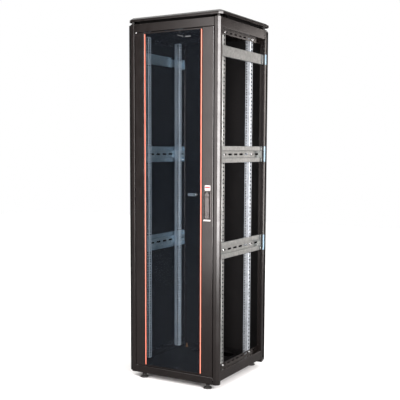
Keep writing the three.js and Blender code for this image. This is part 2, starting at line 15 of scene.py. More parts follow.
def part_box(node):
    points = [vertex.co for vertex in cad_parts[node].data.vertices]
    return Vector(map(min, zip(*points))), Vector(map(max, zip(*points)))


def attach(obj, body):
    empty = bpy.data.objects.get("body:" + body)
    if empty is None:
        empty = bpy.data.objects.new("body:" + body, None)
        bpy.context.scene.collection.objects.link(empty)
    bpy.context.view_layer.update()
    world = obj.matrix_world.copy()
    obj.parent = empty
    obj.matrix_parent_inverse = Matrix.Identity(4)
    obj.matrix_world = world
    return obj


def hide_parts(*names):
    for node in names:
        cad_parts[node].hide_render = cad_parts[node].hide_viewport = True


MM = 0.001
SHEET = 2.0
BEND = 2.2  # bend radius of folded sheet, at its mid-line
POST_CHAMFER = 13
RACK_UNITS = 42
UNIT = 44.45
UNIT_HOLES = (6.35, 22.225, 38.1)  # hole heights within one rack unit
RAIL_HOLE = 9.5
RAIL_OVERRUN = 6
SIDES = (("left", -1), ("right", 1))
SMOOTH_ANGLE = 38  # degrees: edges that turn more than this stay sharp

# Place in metres, angles in radians, lens in millimetres and shift in sensor widths.
CAMERA = {
    "location": (2.2411, -3.9773, 1.3294),
    "yaw": 0.5491,
    "pitch": 0.1031,
    "lens": 69.45,
    "shift": (0.0704, 0.0747),
}

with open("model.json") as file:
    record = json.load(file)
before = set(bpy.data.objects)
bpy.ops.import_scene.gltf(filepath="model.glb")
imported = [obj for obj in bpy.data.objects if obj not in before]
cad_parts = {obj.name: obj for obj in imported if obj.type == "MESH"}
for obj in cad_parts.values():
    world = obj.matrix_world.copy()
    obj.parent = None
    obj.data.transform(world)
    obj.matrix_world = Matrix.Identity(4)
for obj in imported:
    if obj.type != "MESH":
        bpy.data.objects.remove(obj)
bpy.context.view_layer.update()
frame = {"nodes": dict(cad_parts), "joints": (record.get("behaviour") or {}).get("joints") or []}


def span(node):
    """A CAD node's extents in millimetres: ((x0, x1), (y0, y1), (z0, z1))."""
    low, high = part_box(node)
    return tuple((low[i] / MM, high[i] / MM) for i in range(3))


# ---- Materials ----------------------------------------------------------------------------


class Material:
    """A Principled material whose colour, roughness and bump come from procedural noise."""

    def __init__(self, name, metallic=0.0, **constants):
        self.material = bpy.data.materials.new(name)
        self.material.use_nodes = True
        self.nodes = self.material.node_tree.nodes
        self.links = self.material.node_tree.links
        self.shader = self.nodes["Principled BSDF"]
        self.shader.inputs["Metallic"].default_value = metallic
        for socket, value in constants.items():
            self.shader.inputs[socket].default_value = value
        self.coords = self.nodes.new("ShaderNodeTexCoord").outputs["Object"]

    def add(self, kind, **settings):
        node = self.nodes.new(kind)
        for key, value in settings.items():
            setattr(node, key, value)
        return node

    def noise(self, scale, stretch=(1, 1, 1), detail=3.0):
        mapping = self.add("ShaderNodeMapping")
        mapping.inputs["Scale"].default_value = stretch
        self.links.new(self.coords, mapping.inputs["Vector"])
        texture = self.add("ShaderNodeTexNoise")
        texture.inputs["Scale"].default_value = scale
        texture.inputs["Detail"].default_value = detail
        self.links.new(mapping.outputs[0], texture.inputs["Vector"])
        return texture.outputs["Fac"]

    def cells(self, scale):
        texture = self.add("ShaderNodeTexVoronoi")
        texture.inputs["Scale"].default_value = scale
        self.links.new(self.coords, texture.inputs["Vector"])
        value = self.add("ShaderNodeSeparateColor")
        self.links.new(texture.outputs["Color"], value.inputs[0])
        return value.outputs[0]

    def colour(self, factor, low, high, spread=(0.3, 0.7)):
        ramp = self.add("ShaderNodeValToRGB")
        ramp.color_ramp.elements[0].position = spread[0]
        ramp.color_ramp.elements[1].position = spread[1]
        ramp.color_ramp.elements[0].color = (*low, 1)
        ramp.color_ramp.elements[1].color = (*high, 1)
        self.links.new(factor, ramp.inputs[0])
        self.links.new(ramp.outputs[0], self.shader.inputs["Base Color"])
        return self

    def roughness(self, factor, low, high):
        scaled = self.add("ShaderNodeMapRange")
        scaled.inputs["From Min"].default_value = 0.3
        scaled.inputs["From Max"].default_value = 0.7
        scaled.inputs["To Min"].default_value = low
        scaled.inputs["To Max"].default_value = high
        self.links.new(factor, scaled.inputs["Value"])
        self.links.new(scaled.outputs[0], self.shader.inputs["Roughness"])
        return self

    def bump(self, height, strength, distance):
        bump = self.add("ShaderNodeBump")
        bump.inputs["Strength"].default_value = strength
        bump.inputs["Distance"].default_value = distance
        self.links.new(height, bump.inputs["Height"])
        self.links.new(bump.outputs[0], self.shader.inputs["Normal"])
        return self


def powder_coat(name, low, high, rough, gloss=0.32, bump=0.03):
    """Sprayed powder coat: a fine orange-peel skin with faint blotches in its gloss."""
    coat = Material(name, **{"Specular IOR Level": gloss})
    coat.colour(coat.noise(6.0), low, high)
    coat.roughness(coat.noise(22.0), *rough)
    return coat.bump(coat.noise(300.0), bump, 0.0004).material


def plated(name, low, high, rough, spangle=70.0, metallic=1.0):
    """Zinc-plated sheet: small crystal patches of differing tone, drawn slightly along its length."""
    zinc = Material(name, metallic=metallic)
    zinc.colour(zinc.cells(spangle), low, high, (0.0, 1.0))
    zinc.roughness(zinc.noise(35.0, (1, 1, 0.15)), *rough)
    return zinc.bump(zinc.noise(420.0, (1, 1, 0.2)), 0.08, 0.0004).material


def moulded(name, low, high, rough, grain=500.0, strength=0.2):
    plastic = Material(name)
    plastic.colour(plastic.noise(40.0), low, high)
    plastic.roughness(plastic.noise(90.0), *rough)
    return plastic.bump(plastic.noise(grain), strength, 0.0003).material


def smoked_glass():
    glass = Material("glass", **{"IOR": 1.5, "Specular IOR Level": 0.12, "Alpha": 0.4})
    glass.colour(glass.noise(1.2), (0.006, 0.008, 0.011), (0.009, 0.011, 0.014))
    glass.roughness(glass.noise(2.5), 0.02, 0.045)
    return glass.bump(glass.noise(3.0, detail=1.0), 0.02, 0.002).material


PAINT = powder_coat("paint", (0.0060, 0.0046, 0.0043), (0.0085, 0.0066, 0.0062), (0.21, 0.27))
DOOR_PAINT = powder_coat("paint_door", (0.0070, 0.0052, 0.0050), (0.0095, 0.0074, 0.0070), (0.19, 0.25))
# A darker, less glossy copy of the paint for the inner faces: painted shade.
INSIDE_SHADE_PAINT = powder_coat(
    "paint_inside_shade", (0.004, 0.0036, 0.0038), (0.006, 0.0054, 0.0056), (0.5, 0.6), 0.15, 0.008
)
SHADE_PAINT = powder_coat("paint_shade", (0.002, 0.0018, 0.0018), (0.003, 0.0027, 0.0027), (0.6, 0.7), 0.05)
ZINC = plated("zinc", (0.50, 0.55, 0.60), (0.66, 0.71, 0.76), (0.42, 0.52), metallic=0.94)
# A brighter, bluish copy of the zinc: painted light, the look of the left rails through the tinted glass.
PAINTED_LIGHT_ZINC = plated("zinc_painted_light", (0.56, 0.72, 0.88), (0.72, 0.86, 0.98), (0.42, 0.52), metallic=0.3)
# A darker zinc: duller plating on the right-hand braces, and painted shade where it stands on the front-right
# rail.
DULL_AND_SHADE_ZINC = plated("zinc_dull_and_shade", (0.34, 0.35, 0.345), (0.46, 0.47, 0.46), (0.40, 0.52))
# A lighter, bluish copy of the zinc: painted light, the tint the left braces take through the glass.
PAINTED_BLUE_LIGHT_ZINC = plated("zinc_painted_blue_light", (0.34, 0.50, 0.62), (0.46, 0.62, 0.74), (0.42, 0.54), metallic=0.6)
FASTENER = plated("zinc_fastener", (0.60, 0.61, 0.62), (0.78, 0.79, 0.80), (0.22, 0.32), 300.0)
# Light metal for the handle pan's foot lip: a painted highlight on the rim's bottom edge.
PAN_LIP_HIGHLIGHT_METAL = plated("zinc_lip_highlight", (0.60, 0.59, 0.58), (0.74, 0.73, 0.72), (0.40, 0.50), 300.0, 0.4)
BRASS = plated("brass", (0.72, 0.36, 0.13), (0.86, 0.46, 0.18), (0.28, 0.4), 200.0)
GLASS = smoked_glass()
CORAL = moulded("accent", (0.66, 0.17, 0.11), (0.74, 0.22, 0.15), (0.30, 0.42), 250.0, 0.08)
PLASTIC = moulded("plastic", (0.012, 0.012, 0.012), (0.022, 0.021, 0.020), (0.45, 0.6))
HANDLE = powder_coat("handle", (0.045, 0.038, 0.037), (0.058, 0.050, 0.049), (0.24, 0.32), 0.5)
LABEL = moulded("label", (0.42, 0.415, 0.41), (0.46, 0.455, 0.45), (0.35, 0.45), 300.0, 0.05)
RED = moulded("label_bar", (0.45, 0.008, 0.015), (0.50, 0.012, 0.02), (0.35, 0.45), 300.0, 0.05)


# ---- Mesh building ------------------------------------------------------------------------

RUNS = {
    "x": lambda a, b, v: Vector((v, a, b)),
    "y": lambda a, b, v: Vector((a, v, b)),
    "z": lambda a, b, v: Vector((a, b, v)),
}


def round_path(points, radius, steps):
    """A closed convex outline, anticlockwise, with each corner rounded by an arc."""
    out = []
    for i, corner in enumerate(points):
        before = (Vector(points[i - 1]) - Vector(corner)).normalized()
        after = (Vector(points[(i + 1) % len(points)]) - Vector(corner)).normalized()
        half = before.angle(after) / 2
        centre = Vector(corner) + (before + after).normalized() * (radius / math.sin(half))
        start = Vector(corner) + before * (radius / math.tan(half)) - centre
        turn = math.pi - 2 * half
        for k in range(steps + 1):
            rotated = Matrix.Rotation(turn * k / steps, 2) @ start
            out.append(tuple(centre + rotated))
    return out


def shrink(points, by):
    """A closed convex outline, anticlockwise, with every edge moved inwards."""
    out = []
    for i, corner in enumerate(points):
        before = (Vector(corner) - Vector(points[i - 1])).normalized()
        after = (Vector(points[(i + 1) % len(points)]) - Vector(corner)).normalized()
        n0, n1 = Vector((-before.y, before.x)), Vector((-after.y, after.x))
        out.append(tuple(Vector(corner) + (n0 + n1) * (by / (1 + n0.dot(n1)))))
    return out


def rect(a, b):
    """A rectangle's outline, from its extents along both directions."""
    return [(a[0], b[0]), (a[1], b[0]), (a[1], b[1]), (a[0], b[1])]


def circle(a, b, radius, count=24):
    """A regular outline round (a, b): a circle, or a hexagon where count is 6."""
    turn = 2 * math.pi / count
    return [(a + radius * math.cos(i * turn), b + radius * math.sin(i * turn)) for i in range(count)]


class Shape:
    """Collects closed bodies, in millimetres, for one object."""

    def __init__(self):
        self.verts, self.faces = [], []

    def loft(self, axis, levels):
        """Joins outlines of equal point count and caps both ends. levels lists (outline, height)."""
        base, count = len(self.verts), len(levels[0][0])
        for outline, height in levels:
            self.verts += [RUNS[axis](a, b, height) for a, b in outline]
        for level in range(len(levels) - 1):
            for i in range(count):
                j = (i + 1) % count
                low, high = base + level * count, base + (level + 1) * count
                self.faces.append((low + i, low + j, high + j, high + i))
        self.faces.append(tuple(base + i for i in range(count)))
        self.faces.append(tuple(base + (len(levels) - 1) * count + i for i in range(count)))
        return self

    def slab(self, axis, outline, low, high, corner=3.0, edge=0.6):
        """A plate with rounded corners and softened edges, between two heights."""
        levels = []
        for depth, height in ((edge, low), (edge * 0.3, low + edge * 0.3), (0, low + edge)):
            levels.append((depth, height))
        levels += [(depth, high + low - height) for depth, height in reversed(levels)]
        return self.loft(
            axis, [(round_path(shrink(outline, d), max(corner - d, 0.2), 4), h) for d, h in levels]
        )

    def bolt(self, axis, at, out, across=10.0, height=4.5, washer=6.5):
        """A hexagon-head bolt on a washer. at is where it meets the sheet, out is +1 or -1 along axis."""
        index = "xyz".index(axis)
        a, b = [at[i] for i in range(3) if i != index]
        base = at[index]
        ring = [(washer, 0.0), (washer, 1.0), (washer - 0.4, 1.4)]
        self.loft(axis, [(circle(a, b, r), base + out * h) for r, h in ring])
        hexagon = across / math.sqrt(3)
        head = [(hexagon, 1.4), (hexagon, 0.8 + height), (hexagon - 0.8, 1.4 + height)]
        return self.loft(axis, [(circle(a, b, r, 6), base + out * h) for r, h in head])

    def folded(self, axis, points, start, end, holes=None, bend=BEND, closed=False, steps=3):
        """A folded sheet. points is its mid-line across axis, and holes maps a straight's number to
        (centre along it, centre along axis, half length, half height, corner radius)."""
        layer = _Layer(axis)
        straights = _straights(points, bend, closed)
        stations = []
        for i, straight in enumerate(straights):
            stations.append(layer.straight(straight, start, end, (holes or {}).get(i, ())))
        pairs = len(straights) if closed else len(straights) - 1
        for i in range(pairs):
            following = (i + 1) % len(straights)
            layer.bend(straights[i], stations[i][1], stations[following][0], start, end, bend, steps)
        layer.thicken(self)
        return self

    def build(self, name, material, body="frame", slot="paint", smooth=False, replaces=()):
        mesh = bpy.data.meshes.new(name)
        mesh.from_pydata([v * MM for v in self.verts], [], self.faces)
        work = bmesh.new()
        work.from_mesh(mesh)
        bmesh.ops.recalc_face_normals(work, faces=work.faces)
        work.to_mesh(mesh)
        work.free()
        mesh.materials.append(material)
        obj = bpy.data.objects.new(name, mesh)
        bpy.context.scene.collection.objects.link(obj)
        if smooth:
            mesh.shade_smooth()
            mesh.set_sharp_from_angle(angle=math.radians(SMOOTH_ANGLE))
            weighted = obj.modifiers.new("normals", "WEIGHTED_NORMAL")
            weighted.keep_sharp = True
        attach(obj, body)
        if replaces:
            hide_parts(*replaces)
        return obj


def _straights(points, bend, closed):
    """The straight runs of a folded mid-line, each trimmed back from the bends at its ends."""
    count = len(points)
    runs = []
    for i in range(count if closed else count - 1):
        a, b = Vector(points[i]), Vector(points[(i + 1) % count])
        runs.append({"from": a, "length": (b - a).length, "along": (b - a).normalized()})
    for run in runs:
        run["side"] = Vector((-run["along"].y, run["along"].x))
        run["trim"] = [0.0, run["length"]]
    for i in range(len(runs) if closed else len(runs) - 1):
        here, after = runs[i], runs[(i + 1) % len(runs)]
        turn = math.atan2(here["along"].cross(after["along"]), here["along"].dot(after["along"]))
        cut = bend * math.tan(abs(turn) / 2)
        here["turn"] = turn
        here["trim"][1] -= cut
        after["trim"][0] += cut
    return runs


def _along(run, distance):
    """The point at a distance from a straight's first corner."""
    return run["from"] + run["along"] * distance


def _within(area, u, v):
    return area[0] < u < area[1] and area[2] < v < area[3]


class _Layer:
    """The mid-surface of a folded sheet, thickened once it is complete."""

    def __init__(self, axis):
        self.run, self.points, self.normals, self.faces = RUNS[axis], [], [], []

    def point(self, flat, side, height):
        self.points.append(self.run(flat.x, flat.y, height))
        self.normals.append(self.run(side.x, side.y, 0))
        return len(self.points) - 1

    def straight(self, run, start, end, holes):
        """Meshes one flat run round its holes, and returns the lines of points at both its ends."""
        us, vs, square, ringed = {run["trim"][0], run["trim"][1]}, {start, end}, [], []
        for cu, cv, hu, hv, radius in holes:
            margin = 1.0 if radius else 0.0
            area = (cu - hu - margin, cu + hu + margin, cv - hv - margin, cv + hv + margin)
            us.update(area[:2])
            vs.update(area[2:])
            (ringed if radius else square).append((area, (cu, cv, hu, hv, radius)))
        us, vs = sorted(us), sorted(vs)
        grid = [[self.point(_along(run, u), run["side"], v) for v in vs] for u in us]
        rings = {}
        for area, hole in ringed:
            rings[(us.index(area[0]), vs.index(area[2]))] = hole
        for i in range(len(us) - 1):
            for j in range(len(vs) - 1):
                middle = ((us[i] + us[i + 1]) / 2, (vs[j] + vs[j + 1]) / 2)
                corners = (grid[i][j], grid[i + 1][j], grid[i + 1][j + 1], grid[i][j + 1])
                if (i, j) in rings:
                    self.ring(run, corners, rings[(i, j)])
                elif not any(_within(area, *middle) for area, _ in square):
                    self.faces.append(corners)
        return list(zip(vs, grid[0])), list(zip(vs, grid[-1]))

    def ring(self, run, corners, hole):
        """Fills between a cell's corners and the rounded hole in it."""
        cu, cv, hu, hv, radius = hole
        groups = []
        for k, (su, sv) in enumerate(((-1, -1), (1, -1), (1, 1), (-1, 1))):
            group = []
            for step in range(4):
                angle = math.pi * (1 + k / 2) + math.pi / 2 * step / 3
                u = cu + su * (hu - radius) + radius * math.cos(angle)
                v = cv + sv * (hv - radius) + radius * math.sin(angle)
                group.append(self.point(_along(run, u), run["side"], v))
            groups.append(group)
        for k, group in enumerate(groups):
            following = groups[(k + 1) % 4]
            self.faces += [(corners[k], group[s], group[s + 1]) for s in range(3)]
            self.faces.append((corners[k], group[-1], following[0], corners[(k + 1) % 4]))

    def bend(self, here, line, last, start, end, radius, steps):
        """Carries the line of points at the end of one straight round a bend to the next one."""
        centre_side = math.copysign(1, here["turn"])
        corner = here["from"] + here["along"] * here["trim"][1]
        centre = corner + here["side"] * (centre_side * radius)
        for step in range(1, steps):
            rotate = Matrix.Rotation(here["turn"] * step / steps, 2)
            flat, side = centre + rotate @ (corner - centre), rotate @ here["side"]
            following = [(v, self.point(flat, side, v)) for v in (start, end)]
            self.zip(line, following)
            line = following
        self.zip(line, last)

    def zip(self, a, b):
        """Fills between two lines of points whose heights differ."""
        i = j = 0
        while i < len(a) - 1 or j < len(b) - 1:
            next_a = a[i + 1][0] if i < len(a) - 1 else math.inf
            next_b = b[j + 1][0] if j < len(b) - 1 else math.inf
            if next_a == next_b:
                self.faces.append((a[i][1], b[j][1], b[j + 1][1], a[i + 1][1]))
                i, j = i + 1, j + 1
            elif next_a < next_b:
                self.faces.append((a[i][1], b[j][1], a[i + 1][1]))
                i += 1
            else:
                self.faces.append((a[i][1], b[j][1], b[j + 1][1]))
                j += 1

    def thicken(self, shape):
        """Adds the surface to shape as a closed skin of sheet thickness, with its cut edges."""
        base, count = len(shape.verts), len(self.points)
        for sign in (0.5, -0.5):
            shape.verts += [p + n * (SHEET * sign) for p, n in zip(self.points, self.normals)]
        edges = {}
        for face in self.faces:
            shape.faces.append(tuple(base + v for v in face))
            shape.faces.append(tuple(base + count + v for v in reversed(face)))
            for k, v in enumerate(face):
                w = face[(k + 1) % len(face)]
                edges.setdefault(frozenset((v, w)), []).append((v, w))
        for used in edges.values():
            if len(used) == 1:
                v, w = used[0]
                shape.faces.append((base + v, base + w, base + count + w, base + count + v))


def tray(axis, outline, face, rim, corner, wall=1.5, soft=2.5):
    """A shallow pan of sheet: its closed face at height face, its open rim at height rim."""
    way = math.copysign(1, rim - face)
    outer = [(soft, 0), (soft * 0.29, soft * 0.29), (0, soft)]
    levels = [(d, face + way * h) for d, h in outer] + [(0, rim), (wall, rim)]
    levels += [(d + wall, face + way * (h + wall)) for d, h in reversed(outer)]
    return Shape().loft(
        axis, [(round_path(shrink(outline, d), max(corner - d, 0.4), 4), h) for d, h in levels]
    )


def column(shape, axis, centre, profile, count=24):
    """A turned body: profile lists (radius, height along axis)."""
    return shape.loft(axis, [(circle(*centre, r, count), h) for r, h in profile])


def thread(radius, depth, base, step, count):
    """A profile for column: the ridges and valleys of a thread in turn."""
    return [(radius + depth * (k % 2), base + k * step) for k in range(count)]


# ---- Frame: posts, rails and beams --------------------------------------------------------

POST_BEND = 3.0
for side_name, side in SIDES:
    for end_name, inward in (("front", 1), ("rear", -1)):
        node = f"post_{end_name}_{side_name}"
        xs, ys, zs = span(node)
        out, inner = (xs[1], xs[0]) if side > 0 else (xs[0], xs[1])
        face, back = (ys[0], ys[1]) if inward > 0 else (ys[1], ys[0])
        outline = [
            (inner, face), (out - side * POST_CHAMFER, face), (out, face + inward * POST_CHAMFER),
            (out, back), (inner, back),
        ]
        if side * inward < 0:
            outline.reverse()
        Shape().folded("z", shrink(outline, SHEET / 2), *zs, bend=POST_BEND, closed=True, steps=5).build(
            node + "_shell", PAINT, replaces=[node]
        )


def channel(node, inward, low, high):
    """A rail across the cabinet: upright web with a flange along its foot and its head."""
    xs, ys, zs = span(node)
    web = ys[0] + SHEET / 2 if inward > 0 else ys[1] - SHEET / 2
    foot, head = zs[0] + SHEET / 2, zs[1] - SHEET / 2
    low_edge, high_edge = [web + inward * (depth - SHEET / 2) for depth in (low, high)]
    path = [(low_edge, foot), (web, foot), (web, head), (high_edge, head)]
    Shape().folded("x", path, *xs).build(node + "_shell", PAINT, replaces=[node])


CROSS_FLANGE, NARROW_FLANGE = 66, 34
channel("base_front_rail", 1, CROSS_FLANGE, NARROW_FLANGE)
channel("base_rear_rail", -1, CROSS_FLANGE, NARROW_FLANGE)
channel("header_rail", 1, NARROW_FLANGE, NARROW_FLANGE)
channel("top_rear_rail", -1, NARROW_FLANGE, NARROW_FLANGE)

BEAM_SLOTS, BEAM_SLOT_PITCH, BEAM_SLOT = 9, 56, (17, 4.5)
BEAM_STRIP = 26  # height of the slotted strip past the beam's flange
BEAM_RETURN = 26


def row_of(count, pitch, middle):
    """The places of a row of equal steps about its middle."""
    return [middle + (i - (count - 1) / 2) * pitch for i in range(count)]


def side_beam(node, side, way):
    """way is +1 where the slotted strip stands above the beam, -1 where it hangs below."""
    xs, ys, zs = span(node)
    out, strip = (xs[1], xs[0]) if side > 0 else (xs[0], xs[1])
    out, strip = out - side * SHEET / 2, strip + side * SHEET / 2
    low, end = (zs[0], zs[1]) if way > 0 else (zs[1], zs[0])
    flange = end - way * BEAM_STRIP - way * SHEET / 2
    path = [
        (out - side * BEAM_RETURN, low + way * SHEET / 2), (out, low + way * SHEET / 2),
        (out, flange), (strip, flange), (strip, end),
    ]
    slots = [
        (BEAM_STRIP / 2 + SHEET / 2, y, BEAM_SLOT[1], BEAM_SLOT[0], BEAM_SLOT[1])
        for y in row_of(BEAM_SLOTS, BEAM_SLOT_PITCH, sum(ys) / 2)
    ]
    Shape().folded("y", path, *ys, holes={3: slots}).build(node + "_shell", PAINT, replaces=[node])


for side_name, side in SIDES:
    side_beam(f"base_{side_name}_beam", side, 1)
    side_beam(f"top_{side_name}_beam", side, -1)

# ---- 19-inch rails ------------------------------------------------------------------------

WEB_HOLE_IN = 16  # the webs' holes stand this far behind the rail's face
WEB_HOLE = (7.5, 4.8, 3.5)  # half length, half height and corner radius
SQUARE_HOLE_IN = 7.5  # from the rail's inner side to the middle of its square holes
RAIL_BEND = 1.05  # tight, so that the square holes stand clear of it
# Lit and shaded copies of one zinc, chosen by the rail's place: painted light on the left rails, painted
# shade on the front-right rail.
RAIL_ZINC = {
    ("front", "left"): PAINTED_LIGHT_ZINC, ("rear", "left"): PAINTED_LIGHT_ZINC,
    ("front", "right"): DULL_AND_SHADE_ZINC, ("rear", "right"): ZINC,
}
for side_name, side in SIDES:
    for end_name in ("front", "rear"):
        node = f"rail_{end_name}_{side_name}"
        xs, ys, zs = span(node)
        inner, outer = (xs[0], xs[1]) if side > 0 else (xs[1], xs[0])
        inner, outer = inner + side * SHEET / 2, outer - side * SHEET / 2
        face = ys[0] + SHEET / 2
        first = zs[0] + RAIL_OVERRUN
        heights = [first + u * UNIT + h for u in range(RACK_UNITS) for h in UNIT_HOLES]
        halves = [first + k * UNIT / 2 for k in range(1, 2 * RACK_UNITS)]
        depth = ys[1] - ys[0] - SHEET / 2
        half = RAIL_HOLE / 2
        holes = {
            0: [(depth - WEB_HOLE_IN, z, *WEB_HOLE) for z in heights],
            1: [(SQUARE_HOLE_IN - SHEET / 2, z, half, half, 0) for z in heights],
            2: [(WEB_HOLE_IN, z, *WEB_HOLE) for z in halves],
        }
        path = [(inner, ys[1]), (inner, face), (outer, face), (outer, ys[1])]
        Shape().folded("z", path, *zs, holes=holes, bend=RAIL_BEND).build(
            node + "_punched", RAIL_ZINC[end_name, side_name], slot="zinc", replaces=[node]
        )

# ---- Depth braces -------------------------------------------------------------------------

BRACE_OUT = 20  # from the recessed band's back to the outer faces
BRACE_LIP = 6
HAT_STEP = 21
BRACE_SLOTS, BRACE_SLOT_PITCH, BRACE_SLOT = 7, 69, (23, 5.5)
BRACE_SLOTS_BACK = 26  # the row stands this far behind the brace's middle
END_PLATE_OUT = 280
STRAP_HALF = 22
LEFT_UPPER_BODY_END = 125
STRAP_LAP = 1
STRAP_HOLE_R = 4
STRAP_HOLES_IN = (30, 62)  # from the strap's rear end
PLATE = 2.0
END_BOLT, END_BOLT_IN, END_BOLT_UP = (8, 3.2, 5.2), 6, 11
BRACE_BOLT = (9, 4, 6)  # across the flats, height and washer radius
BEAM_BOLT, BEAM_BOLT_IN = (10, 4.5, 6.5), 12
TAB_THICK, TAB_MARGIN = 1.5, 2
POST_OUT = span("post_rear_right")[0][1] + 0.3
post_y = span("post_rear_right")[1]
fasteners, tabs = Shape(), Shape()


def end_plates(shape, side, xs, ys, zs):
    """The brace's two turned-up ends, each with a pair of bolts into its post."""
    across = sorted((xs[0] if side > 0 else xs[1], side * END_PLATE_OUT))
    for y, out in ((ys[0], 1), (ys[1], -1)):
        near, far = sorted((y, y + out * PLATE))
        shape.slab("y", rect(across, zs), near, far, 2.5, 0.4)
        middle = side * (END_PLATE_OUT - END_BOLT_IN)
        for z in (zs[0] + END_BOLT_UP, zs[1] - END_BOLT_UP):
            fasteners.bolt("y", (middle, y + out * PLATE, z), out, *END_BOLT)


for side_name, side in SIDES:
    for level in ("lower", "middle", "upper"):
        node = f"brace_{side_name}_{level}"
        xs, ys, zs = span(node)
        back = (xs[0] if side > 0 else xs[1]) + side * SHEET / 2
        out = back + side * (BRACE_OUT - SHEET)
        middle, half = sum(zs) / 2, (zs[1] - zs[0]) / 2 - SHEET / 2
        lip = back + side * BRACE_LIP
        shape = Shape()
        if level == "upper":
            path = [(lip, middle + half), (out, middle + half), (out, middle - half), (lip, middle - half)]
            stop = LEFT_UPPER_BODY_END if side < 0 else ys[1]
            shape.folded("y", path, ys[0], stop)
            if side < 0:
                strap = [(out, middle - STRAP_HALF), (out, middle + STRAP_HALF)]
                holes = [(STRAP_HALF, ys[1] - d, *[STRAP_HOLE_R] * 3) for d in STRAP_HOLES_IN]
                shape.folded("y", strap, stop - STRAP_LAP, ys[1], holes={0: holes})
        else:
            profile = [(lip, half), (out, half), (out, HAT_STEP), (back, HAT_STEP)]
            path = [(x, middle + z) for x, z in profile]
            path += [(x, middle - z) for x, z in reversed(profile)]
            slots = [
                (HAT_STEP, y, BRACE_SLOT[1], BRACE_SLOT[0], BRACE_SLOT[1])
                for y in row_of(BRACE_SLOTS, BRACE_SLOT_PITCH, sum(ys) / 2 + BRACE_SLOTS_BACK)
            ]
            shape.folded("y", path, *ys, holes={3: slots})
        end_plates(shape, side, xs, ys, zs)
        if side > 0:
            tab_y = (post_y[0] + TAB_MARGIN, post_y[1] - POST_CHAMFER - TAB_MARGIN)
            tabs.slab("x", rect(tab_y, zs), POST_OUT, POST_OUT + TAB_THICK, 2, 0.3)
        # The right braces take the darker zinc, with painted shade; the left ones take the bluish zinc, with
        # painted light.
        light_or_shade_zinc = DULL_AND_SHADE_ZINC if side > 0 else PAINTED_BLUE_LIGHT_ZINC
        shape.build(node + "_pressed", light_or_shade_zinc, slot="zinc", replaces=[node])
        rail_y = [sum(span(f"rail_{end}_{side_name}")[1]) / 2 for end in ("front", "rear")]
        for y in rail_y:
            if level != "upper":
                fasteners.bolt("x", (back + side * SHEET / 2, y, middle), side, *BRACE_BOLT)

for side_name, side in SIDES:
    for beam in ("base", "top"):
        xs, _, zs = span(f"{beam}_{side_name}_beam")
        strip = (xs[0] if side > 0 else xs[1]) + side * SHEET
        z = zs[1] - BEAM_BOLT_IN if beam == "base" else zs[0] + BEAM_BOLT_IN
        for end in ("front", "rear"):
            y = sum(span(f"rail_{end}_{side_name}")[1]) / 2
            fasteners.bolt("x", (strip, y, z), side, *BEAM_BOLT)
fasteners.build("frame_bolts", FASTENER, slot="zinc")
tabs.build("brace_tabs_rear_right", PAINTED_BLUE_LIGHT_ZINC, slot="zinc", smooth=True)

# ---- Floor plate and earth stud -----------------------------------------------------------

xs, ys, zs = span("floor_plate")
sheet_z = sum(zs) / 2
ENTRY_HALF, ENTRY_Y, ENTRY_CORNER = 140, (130, 215), 12  # the cable entry near the back
FLOOR_BOLT, FLOOR_BOLT_IN, FLOOR_BOLT_X = (9, 4, 6), 14, (-230, 0, 230)
entry = (-xs[0], sum(ENTRY_Y) / 2, ENTRY_HALF, (ENTRY_Y[1] - ENTRY_Y[0]) / 2, ENTRY_CORNER)
Shape().folded("y", [(xs[0], sheet_z), (xs[1], sheet_z)], *ys, holes={0: [entry]}).build(
    "floor_plate_sheet", INSIDE_SHADE_PAINT, replaces=["floor_plate"]
)
floor_bolts = Shape()
for x in FLOOR_BOLT_X:
    for y in (ys[0] + FLOOR_BOLT_IN, ys[1] - FLOOR_BOLT_IN):
        floor_bolts.bolt("z", (x, y, zs[1]), 1, *FLOOR_BOLT)
floor_bolts.build("floor_bolts", FASTENER, slot="zinc")

xs, ys, zs = span("earth_stud")
centre = (sum(xs) / 2, sum(ys) / 2)
# Radius and height above the stud's foot.
STUD_WASHER = ((9, 0), (9, 1.2), (8.6, 1.5))
STUD_NUT = ((7.6, 1.5), (7.6, 7), (6.8, 7.8))
stud = Shape()
column(stud, "z", centre, [(r, zs[0] + h) for r, h in STUD_WASHER])
stud.loft("z", [(circle(*centre, r, 6), zs[0] + h) for r, h in STUD_NUT])
column(stud, "z", centre, thread(3.2, 0.4, zs[0] + STUD_NUT[-1][1], 0.62, 26), 16)
stud.build("earth_stud_bolt", BRASS, slot="brass", smooth=True, replaces=["earth_stud"])

# ---- Raised roof --------------------------------------------------------------------------

xs, ys, zs = span("roof_cover")
ROOF_EDGE = 24
SLOPE_WIDE, SLOPE_HIGH = 17, 11  # the slope between the roof's rim and its flat top
ROOF_CHAMFER = 20


def chamfered(across, along, cut):
    """A rectangle's outline with its four corners cut off."""
    (x0, x1), (y0, y1) = across, along
    return [
        (x0 + cut, y0), (x1 - cut, y0), (x1, y0 + cut), (x1, y1 - cut),
        (x1 - cut, y1), (x0 + cut, y1), (x0, y1 - cut), (x0, y0 + cut),
    ]


roof_outline = chamfered(xs, ys, ROOF_CHAMFER)
roof_top, roof_rim = zs[1], zs[1] - ROOF_EDGE
# How far in from the rim and how far below the top, with both turns of the slope softened.
slope = [(SLOPE_WIDE + 1.2, 0), (SLOPE_WIDE - 0.4, 0.5), (0.7, SLOPE_HIGH - 0.3), (0, SLOPE_HIGH + 0.8)]
levels = [(d, roof_top - h) for d, h in slope] + [(0, roof_rim), (SHEET, roof_rim)]
levels += [(d + SHEET, roof_top - h - SHEET) for d, h in reversed(slope)]
roof = Shape().loft("z", [(round_path(shrink(roof_outline, d), 3.0, 3), h) for d, h in levels])
roof.build("roof_cover_pressed", PAINT, smooth=True, replaces=["roof_cover"])

